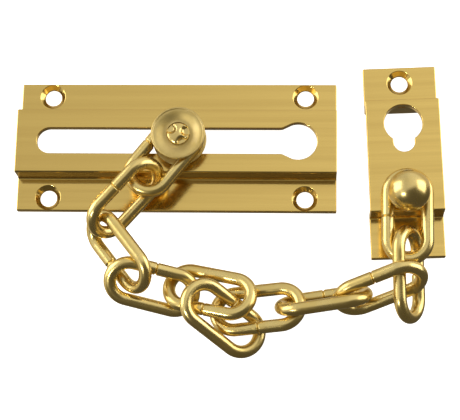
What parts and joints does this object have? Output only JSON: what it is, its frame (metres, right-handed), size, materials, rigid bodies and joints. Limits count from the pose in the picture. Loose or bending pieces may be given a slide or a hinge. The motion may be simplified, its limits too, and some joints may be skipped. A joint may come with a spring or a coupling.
{
  "type": "door chain guard",
  "caption": "Door chain guard: a slotted slide plate, a chain of wire links on a captive sliding button, and a keeper plate with a ball stud.",
  "frame": {"origin": "on the back of the slide plate's near flange, halfway along the plate, in the plane both plates lie on", "axes": "+X along the slide plate towards its keyhole end and the keeper, +Y across the slide plate, +Z out of the plates' faces"},
  "size_m": [0.1334, 0.094, 0.0247],
  "materials": {
    "polished_brass": "polished and lacquered",
    "satin_brass": "satin"
  },
  "bodies": {
    "slide": {"slide_plate": "polished_brass"},
    "button": {"button_stud": "polished_brass", "rear_washer": "polished_brass", "dished_washer": "satin_brass"},
    "chain_01": {"link_01": "polished_brass"},
    "chain_02": {"link_02": "polished_brass"},
    "chain_03": {"link_03": "polished_brass"},
    "chain_04": {"link_04": "polished_brass"},
    "chain_05": {"link_05": "polished_brass"},
    "chain_06": {"link_06": "polished_brass"},
    "chain_07": {"link_07": "polished_brass"},
    "chain_08": {"link_08": "polished_brass"},
    "chain_09": {"link_09": "polished_brass"},
    "chain_10": {"link_10": "polished_brass"},
    "chain_11": {"link_11": "polished_brass"},
    "keeper": {"keeper_plate": "polished_brass", "ball_stud": "polished_brass"}
  },
  "joints": [
    {"name": "button_slide", "type": "slide", "parent": "slide", "child": "button", "axis": [1, 0, 0], "range_m": [-0.008, 0.0365]},
    {"name": "button_swivel", "type": "hinge", "parent": "button", "child": "chain_01", "pos_m": [0.0014, 0.0153, 0.0127], "axis": [0, 0, 1], "range_deg": [-2.5, 14]},
    {"name": "link_01_to_02", "type": "hinge", "parent": "chain_01", "child": "chain_02", "pos_m": [-0.011, -0.00074, 0.0127], "axis": [-0.788, 0.6157, 0], "range_deg": [-4, 4]},
    {"name": "link_02_to_03", "type": "hinge", "parent": "chain_02", "child": "chain_03", "pos_m": [-0.02308, -0.01374, 0.01159], "axis": [0.4543, -0.3312, -0.827], "range_deg": [-18, 24]},
    {"name": "link_03_to_04", "type": "hinge", "parent": "chain_03", "child": "chain_04", "pos_m": [-0.00834, -0.03039, 0.01096], "axis": [0, 0, 1], "range_deg": [-5, 8]},
    {"name": "link_04_to_05", "type": "hinge", "parent": "chain_04", "child": "chain_05", "pos_m": [0.00642, -0.03316, 0.00434], "axis": [0, 0, 1], "range_deg": [-15, 4]},
    {"name": "link_05_to_06", "type": "hinge", "parent": "chain_05", "child": "chain_06", "pos_m": [0.02399, -0.03496, 0.01], "axis": [0, 0, 1], "range_deg": [-3, 4]},
    {"name": "link_06_to_07", "type": "hinge", "parent": "chain_06", "child": "chain_07", "pos_m": [0.02567, -0.04701, 0.00243], "axis": [0, 0, 1], "range_deg": [-12, 1.5]},
    {"name": "link_07_to_08", "type": "hinge", "parent": "chain_07", "child": "chain_08", "pos_m": [0.03899, -0.03588, 0.00793], "axis": [-0.0529, 0.9773, -0.2054], "range_deg": [-12, 10]},
    {"name": "link_08_to_09", "type": "hinge", "parent": "chain_08", "child": "chain_09", "pos_m": [0.0588, -0.0329, 0.00996], "axis": [0.038, 0.4161, -0.9085], "range_deg": [-7, 8]},
    {"name": "link_09_to_10", "type": "hinge", "parent": "chain_09", "child": "chain_10", "pos_m": [0.07465, -0.02715, 0.0147], "axis": [0.3969, -0.3598, -0.8444], "range_deg": [-6, 12]},
    {"name": "link_10_to_11", "type": "hinge", "parent": "chain_10", "child": "chain_11", "pos_m": [0.07115, -0.01365, 0.01108], "axis": [-0.5239, -0.1802, 0.8325], "range_deg": [-24, 2.5]},
    {"name": "keeper_swivel", "type": "hinge", "parent": "chain_11", "child": "keeper", "pos_m": [0.07136, -0.00289, 0], "axis": [0, 0, 1], "range_deg": [-22, 8]}
  ]
}
